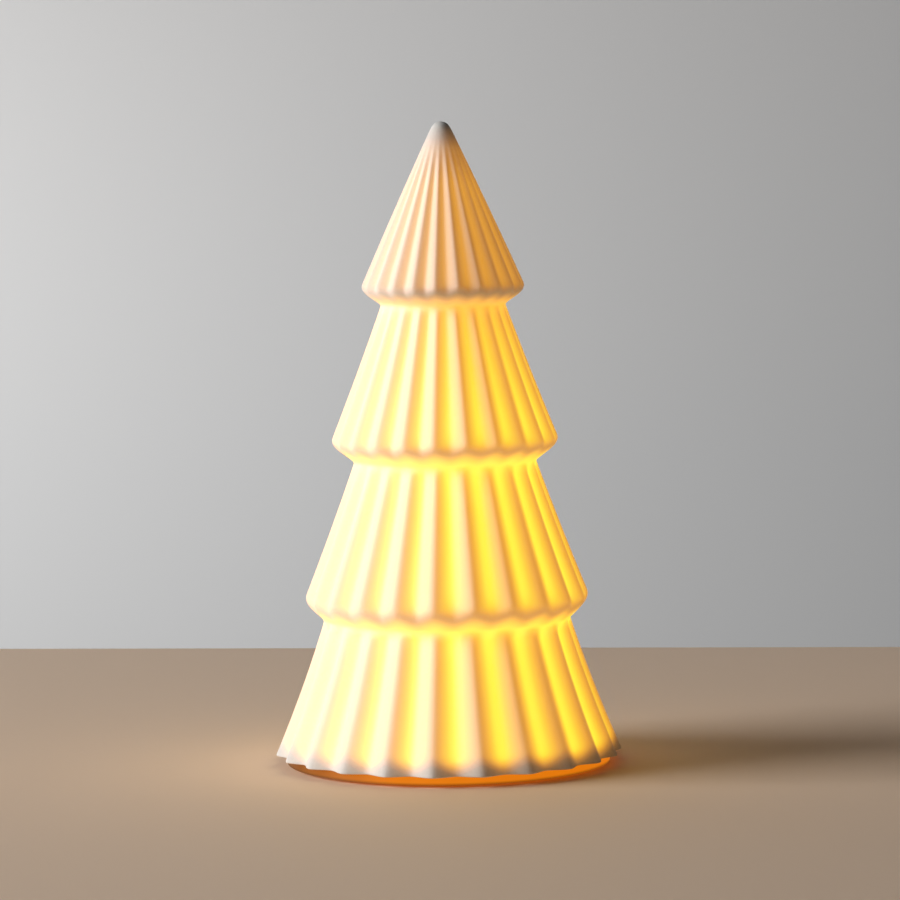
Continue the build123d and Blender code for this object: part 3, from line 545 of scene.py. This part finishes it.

# %% [markdown]
# ## Opal base plate
# The plate under the rim is milky plastic. Lamp light runs along inside it and leaves at its edge, so
# the edge shows as an orange band that is weaker on the side that faces the window. Its darker foot is
# painted shade, where the band meets the table. The masks give that band: outer in radius, and from
# low to high on the plate's edge. A third mask paints the outermost skin a dark orange, as painted shade, so
# that daylight doesn't wash the band out.

# %% Base plate with a glowing edge
BAND_WIDTH = 14.0
BAND_HEIGHT = (0.5, 2.0)
EDGE_SHADE_START, EDGE_SHADE_END = 0.6, 0.3
WEAKEST = 0.15
BAND_FOOT_SHADED, BAND_TOP = (0.22, 0.06, 0.004, 1), (0.84, 0.21, 0.004, 1)
PLATE_GLOW, EDGE_PAINTED_SHADE = (0.02, 0.008, 0.001, 1), (0.09, 0.035, 0.005, 1)
opal, tree, shader, plastic = grained(
    "opal_plastic", light=(0.84, 0.74, 0.58), dark=(0.79, 0.68, 0.52), scale=260.0,
    smooth=0.38, rough=0.5, bump=0.06, constants={"Specular IOR Level": 0.25, "Emission Strength": 0.9})
plate_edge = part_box("base_plate")[1][0] / MM
outer_mask, upper_mask = zones(tree, (plate_edge - BAND_WIDTH, plate_edge), BAND_HEIGHT)
edge_shade_mask, _ = zones(tree, (plate_edge - EDGE_SHADE_START, plate_edge - EDGE_SHADE_END))
across = coordinates(tree)[0]
one_sided = remap(tree, across, -plate_edge * MM, -plate_edge / 3 * MM, WEAKEST, 1.0)
band_share = calc(tree, "MULTIPLY", outer_mask, one_sided)
# the band's glow runs from a darker foot, painted shade where it meets the table, up to a bright top
band = blend(tree, band_share, PLATE_GLOW, blend(tree, upper_mask, BAND_FOOT_SHADED, BAND_TOP))
tree.links.new(band, shader.inputs["Emission Color"])
# the outermost skin gets a painted dark orange shade in its base colour, so that daylight doesn't wash out
# the band's glow
tree.links.new(blend(tree, edge_shade_mask, plastic, EDGE_PAINTED_SHADE), shader.inputs["Base Color"])
looks["opal_plastic"] = opal
print("radius of the plate", round(float(plate_edge), 2))

# %% [markdown]
# ## Plain moulded pieces
# The battery holder, its door and the switch knob are moulded plastic, the ring is silicone, the feet
# are rubber, and the leads have a soft sheath. They differ in colour, in how tight the grain is and in
# how far it stands out. All of them come from the grained material, with values chosen for each.

# %% Plastics and rubbers
MOULDED = {  # light colour, dark colour, grain scale, smooth and rough ends, bump
    "holder_plastic": ((0.80, 0.80, 0.77), (0.74, 0.74, 0.71), 700.0, 0.42, 0.56, 0.18),
    "door_plastic": ((0.82, 0.81, 0.78), (0.75, 0.74, 0.71), 950.0, 0.46, 0.60, 0.25),
    "silicone": ((0.74, 0.73, 0.70), (0.66, 0.65, 0.62), 300.0, 0.40, 0.55, 0.10),
    "knob_plastic": ((0.045, 0.045, 0.048), (0.028, 0.028, 0.03), 800.0, 0.38, 0.52, 0.20),
    "foot_rubber": ((0.085, 0.083, 0.08), (0.045, 0.044, 0.042), 420.0, 0.72, 0.90, 0.45),
    "red_wire": ((0.52, 0.025, 0.02), (0.42, 0.018, 0.015), 350.0, 0.36, 0.48, 0.12),
    "black_wire": ((0.035, 0.035, 0.035), (0.02, 0.02, 0.02), 350.0, 0.36, 0.48, 0.12),
    "white_wire": ((0.74, 0.73, 0.70), (0.66, 0.65, 0.62), 350.0, 0.36, 0.48, 0.12),
}
for slot, values in MOULDED.items():
    looks[slot] = grained(slot, *values)[0]
print("moulded materials", len(MOULDED))

# %% [markdown]
# ## Plated metal
# Screws are zinc plated, contacts and springs are nickel plated, and component leads are tinned. Each
# is fully metallic, with the grain only moving the roughness and the tone by a little, as handling
# and plating do. The switch can is the same kind of sheet metal.

# %% Metals
PLATED = {  # the same columns as for the moulded pieces
    "screw_steel": ((0.66, 0.67, 0.70), (0.52, 0.53, 0.55), 500.0, 0.24, 0.42, 0.10),
    "contact_metal": ((0.72, 0.70, 0.65), (0.60, 0.58, 0.53), 420.0, 0.20, 0.36, 0.08),
    "lead_metal": ((0.74, 0.74, 0.73), (0.62, 0.62, 0.61), 800.0, 0.26, 0.44, 0.10),
    "switch_can": ((0.68, 0.68, 0.68), (0.56, 0.56, 0.57), 360.0, 0.26, 0.40, 0.10),
}
for slot, values in PLATED.items():
    looks[slot] = grained(slot, *values, {"Metallic": 1.0})[0]
print("plated materials", len(PLATED))

# %% [markdown]
# ## Cells
# A cell is a steel can in a wrap that stops short of both ends. Neighbouring cells lie head to tail, so
# each has its middle in its own place, and a point takes the middle of the cell in whose row it lies. The
# distance from there shows the steel at both ends, and paints a pale band before it, with no lettering.

# %% Wrapped cells
STEEL_LENGTH, BAND_LENGTH, PRINT_EDGE = 2.2, 12.2, 0.2
STEEL, PALE_BAND = (0.70, 0.69, 0.67, 1), (0.62, 0.58, 0.46, 1)
FAR = 1.0
cell, tree, shader, wrap = grained(
    "cell_wrap", light=(0.05, 0.17, 0.13), dark=(0.035, 0.13, 0.10), scale=300.0,
    smooth=0.22, rough=0.34, bump=0.04)
cells = [np.array(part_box("battery_" + n)) / MM for n in "123"]
reach = np.ptp(cells[0][:, 0]) / 2
spot = coordinates(tree)
offset = FAR
for box in cells:
    centre, width = box.mean(axis=0), np.ptp(box[:, 1])
    away, aside = [
        calc(tree, "ABSOLUTE", calc(tree, "SUBTRACT", spot[n], centre[n] * MM)) for n in (0, 1)]
    other_row = calc(tree, "GREATER_THAN", aside, width / 2 * MM)
    offset = calc(tree, "MINIMUM", offset, calc(tree, "ADD", away, other_row))


def past(length):
    """Mask of the cells' ends, from a length before the end."""
    return remap(tree, offset, (reach - length) * MM, (reach - length + PRINT_EDGE) * MM)


steel = past(STEEL_LENGTH)
printed = blend(tree, past(BAND_LENGTH), wrap, PALE_BAND)
tree.links.new(blend(tree, steel, printed, STEEL), shader.inputs["Base Color"])
tree.links.new(steel, shader.inputs["Metallic"])
looks["cell_wrap"] = cell
print("cell middles", [round(float(box[:, 0].mean()), 2) for box in cells], "half length", round(reach, 2))

# %% [markdown]
# ## Circuit board
# The board is green solder mask over copper. Where copper runs under the mask the green is lighter:
# here two ring-shaped runs feed the lamps, one inside and one outside the ring on which they stand.
# The outermost edge is bare glass fibre, which the radius mask picks out.

# %% Board with tracks and a bare edge
RUN_FROM_RING, RUN_HALF_WIDTH = 2.1, 0.55
BARE_EDGE = (22.2, 22.6)
COPPER_GREEN, GLASS_FIBRE = (0.05, 0.30, 0.10, 1), (0.36, 0.36, 0.20, 1)
board, tree, shader, solder_mask = grained(
    "board", light=(0.02, 0.16, 0.06), dark=(0.014, 0.12, 0.045), scale=240.0,
    smooth=0.28, rough=0.40, bump=0.05)
led_ring = np.hypot(*np.array(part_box("led_1")).mean(axis=0)[:2])
radius = from_axis(tree, coordinates(tree))
from_ring = calc(tree, "ABSOLUTE", calc(tree, "SUBTRACT", radius, led_ring))
from_run = calc(tree, "ABSOLUTE", calc(tree, "SUBTRACT", from_ring, RUN_FROM_RING * MM))
runs = calc(tree, "LESS_THAN", from_run, RUN_HALF_WIDTH * MM)
copper = blend(tree, runs, solder_mask, COPPER_GREEN)
bare, _ = zones(tree, BARE_EDGE)
tree.links.new(blend(tree, bare, copper, GLASS_FIBRE), shader.inputs["Base Color"])
looks["board"] = board
print("lamp ring radius", round(float(led_ring / MM), 2))

# %% [markdown]
# ## Parts on the board
# The timer chip is black epoxy with tinned legs, the resistors are dark chips with tinned ends, and
# the capacitor has a sleeve with a bare top. Each turns to metal past a limit along one axis. The two
# resistors lie side by side, so one pair of limits serves both.

# %% Chip, resistors and capacitor
def two_part(name, skin_values, axis, low, high, metal):
    """Grained body that turns to bare metal below a low and above a high limit along one axis."""
    material, tree, shader, body = grained(name, *skin_values)
    along = coordinates(tree)[axis]
    below = calc(tree, "LESS_THAN", along, low * MM)
    mask = calc(tree, "MAXIMUM", below, calc(tree, "GREATER_THAN", along, high * MM))
    tree.links.new(blend(tree, mask, body, (*metal, 1)), shader.inputs["Base Color"])
    tree.links.new(mask, shader.inputs["Metallic"])
    return material


X, Y, Z = range(3)
LEG_LENGTH, END_LENGTH, BARE_TOP = 1.0, 0.45, 0.15
NO_LIMIT = -100.0
chip_box, resistor_box, can_box = [
    np.array(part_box(node)) / MM for node in ("timer_chip", "resistor_1", "capacitor")]
looks["chip_plastic"] = two_part(
    "chip_plastic", ((0.03, 0.03, 0.032), (0.018, 0.018, 0.02), 900.0, 0.5, 0.66, 0.2),
    Y, chip_box[0, Y] + LEG_LENGTH, chip_box[1, Y] - LEG_LENGTH, (0.70, 0.70, 0.69))
looks["capacitor_sleeve"] = two_part(
    "capacitor_sleeve", ((0.03, 0.035, 0.09), (0.022, 0.026, 0.07), 500.0, 0.22, 0.34, 0.05),
    Z, NO_LIMIT, can_box[1, Z] - BARE_TOP, (0.74, 0.74, 0.74))
looks["resistor_body"] = two_part(
    "resistor_body", ((0.05, 0.05, 0.055), (0.03, 0.03, 0.033), 900.0, 0.4, 0.55, 0.1),
    X, resistor_box[0, X] + END_LENGTH, resistor_box[1, X] - END_LENGTH, (0.74, 0.74, 0.72))
print("chip", chip_box.round(2).tolist(), "capacitor top", round(float(can_box[1, Z]), 2))

# %% [markdown]
# ## Lit LEDs
# A warm white LED has a small bright chip low in a clear lens, so its body is amber near the collar
# and almost white where the light leaves the dome. The height mask runs the emission between those
# two colours. The lens itself is smooth and glossy.

# %% LED lenses
DOME_GLOW = (26.0, 33.0)
AMBER, WARM_WHITE = (0.80, 0.36, 0.06, 1), (1.0, 0.80, 0.42, 1)
lens, tree, shader, _ = grained(
    "led_lens", light=(0.90, 0.78, 0.52), dark=(0.86, 0.72, 0.46), scale=200.0,
    smooth=0.10, rough=0.18, bump=0.02, constants={"Emission Strength": 2.0})
_, dome_mask = zones(tree, height=DOME_GLOW)
tree.links.new(blend(tree, dome_mask, AMBER, WARM_WHITE), shader.inputs["Emission Color"])
looks["led_lens"] = lens

# %% [markdown]
# ## Dress the CAD pieces
# The record names a finish for each piece, so one loop hands out the materials. The meshes of the CAD
# pieces are fine enough to be left as they are.

# %% Hand out the materials
for row in frame["record"]["subparts"]:
    piece = frame["nodes"][row["node"]]
    piece.data.materials.clear()
    piece.data.materials.append(looks[row["material_slot"]])

# %% [markdown]
# ## Sheets for the stage
# Floor and wall are flat matt sheets. Seen from its back a sheet is clear, so that the tree can also be
# looked at from below and from behind. The geometry node knows which side is seen, and a mix of two
# shaders acts on it.

# %% Sheet with a clear back
MATT = 0.8


def sheet(name, corners, faces, colour):
    """Flat sheet whose back can be seen through."""
    mesh = bpy.data.meshes.new(name)
    mesh.from_pydata(corners, [], faces)
    obj = bpy.data.objects.new(name, mesh)
    bpy.context.collection.objects.link(obj)
    material, tree, shader = start(name, {"Roughness": MATT, "Base Color": colour})
    clear = add(tree, "ShaderNodeBsdfTransparent").outputs[0]
    back = add(tree, "ShaderNodeNewGeometry").outputs["Backfacing"]
    seen = add(tree, "ShaderNodeMixShader", {0: back, 1: shader.outputs[0], 2: clear})
    tree.links.new(seen.outputs[0], tree.nodes["Material Output"].inputs["Surface"])
    mesh.materials.append(material)
    return obj


print("roughness of the stage", MATT)

# %% [markdown]
# ## Floor and backdrop
# A plain pale floor and a plain grey wall keep the eye on the tree. The floor ends behind the tree, with
# a back edge set askew so that it comes out level in the tilted picture. A round of floor is left open
# under the tree, so that light from below reaches its underside. Its faces join a walk along the four
# sides of the floor to a walk round the opening.

# %% Floor and wall
BACK, SKEW, OPENING, FLOOR_REACH = 0.335, 0.26, 0.052, 3
WALL, WALL_REACH, WALL_FOOT, WALL_HEAD = 1.5, 6, -5, 4
FLOOR_STEPS = 48
FLOOR_COLOUR, WALL_COLOUR = (0.83, 0.635, 0.475, 1), (0.66, 0.66, 0.66, 1)
floor_corners = np.array([
    (-FLOOR_REACH, -FLOOR_REACH), (FLOOR_REACH, -FLOOR_REACH),
    (FLOOR_REACH, BACK - SKEW), (-FLOOR_REACH, BACK + SKEW)])
floor_sides = np.roll(floor_corners, -1, axis=0) - floor_corners
walk = np.linspace(0, 4, FLOOR_STEPS, endpoint=False)
side = walk.astype(int)
border = floor_corners[side] + (walk - side)[:, None] * floor_sides[side]
turn = walk * np.pi / 2 - 3 * np.pi / 4
opening = OPENING * np.stack([np.cos(turn), np.sin(turn)], -1)
flat = np.column_stack([np.vstack([border, opening]), np.zeros(2 * FLOOR_STEPS)])
step = np.arange(FLOOR_STEPS)
next_step = (step + 1) % FLOOR_STEPS
around = np.stack([step, next_step, FLOOR_STEPS + next_step, FLOOR_STEPS + step], -1)
floor = sheet("floor", flat.tolist(), around.tolist(), FLOOR_COLOUR)
wall_corners = [
    (-WALL_REACH, WALL, WALL_FOOT), (WALL_REACH, WALL, WALL_FOOT),
    (WALL_REACH, WALL, WALL_HEAD), (-WALL_REACH, WALL, WALL_HEAD)]
wall = sheet("wall", wall_corners, [(0, 1, 2, 3)], WALL_COLOUR)
print("stage", floor.name, wall.name)

# %% [markdown]
# ## Light
# The tree is lit from its left, as by a window, so its left flanks are pale and the right ones show
# the lamp light alone. The window stands well back, which keeps the floor under it from burning out. A
# second lamp brightens the wall, a third the underside, and a dim even surround opens the shadows. Lamps
# are placed by where they stand and what they point at, and a narrow spread keeps the second and the
# third off the rest.

# %% Lamps and surround
LAMPS = {  # place, target, size, power in watts, spread in degrees
    "window": ((-2.64, -0.48, 1.13), (0, 0, 0.12), 1.76, 56.5, 150),
    "wall_light": ((-1.9, 0.5, 0.35), (-0.2, WALL, 0.05), 0.4, 4.1, 60),
    "under_light": ((0, 0, -0.8), (0, 0, 0), 0.4, 0.5, 40),
}
SURROUND, SURROUND_STRENGTH = (0.50, 0.50, 0.51, 1), 0.045


def lamp(name, place, target, size, power, spread):
    """Square white area lamp at a place, turned to face a target, with its beam held to a spread."""
    data = bpy.data.lights.new(name, "AREA")
    data.size, data.energy, data.spread = size, power, np.radians(spread)
    obj = bpy.data.objects.new(name, data)
    obj.location = place
    obj.rotation_euler = (Vector(target) - Vector(place)).to_track_quat("-Z", "Y").to_euler()
    bpy.context.collection.objects.link(obj)


for name, values in LAMPS.items():
    lamp(name, *values)
world = bpy.data.worlds.new("surround")
world.use_nodes = True
background = world.node_tree.nodes["Background"].inputs
background["Color"].default_value = SURROUND
background["Strength"].default_value = SURROUND_STRENGTH
bpy.context.scene.world = world
bpy.context.scene.view_settings.view_transform = "Standard"

# %% [markdown]
# ## Camera
# The camera stands as far away and as high as the photo's outline says: the ellipses of the hems show
# how steeply it looks down. It is turned a little about its own axis, because the tree leans slightly
# in the picture. The three axes of the camera are written straight into its matrix.

# %% Camera
DISTANCE, EYE = 1.3765, 0.215 + RIM * MM
PITCH, YAW, ROLL = np.radians([4.229, 0.079, 0.743])
LENS, SENSOR = 147.9, 36.0
ahead = Vector((np.sin(YAW) * np.cos(PITCH), np.cos(YAW) * np.cos(PITCH), -np.sin(PITCH)))
right = ahead.cross(Vector((0, 0, 1))).normalized()
above = right.cross(ahead)
tilted_up = above * np.cos(ROLL) + right * np.sin(ROLL)
tilted_right = right * np.cos(ROLL) - above * np.sin(ROLL)
facing = Matrix((tilted_right, tilted_up, -ahead)).transposed().to_4x4()
camera_data = bpy.data.cameras.new("camera")
camera_data.lens, camera_data.sensor_width = LENS, SENSOR
camera = bpy.data.objects.new("camera", camera_data)
camera.matrix_world = Matrix.Translation((0, -DISTANCE, EYE)) @ facing
bpy.context.collection.objects.link(camera)
bpy.context.scene.camera = camera
print("camera", [round(v, 3) for v in camera.matrix_world.translation])
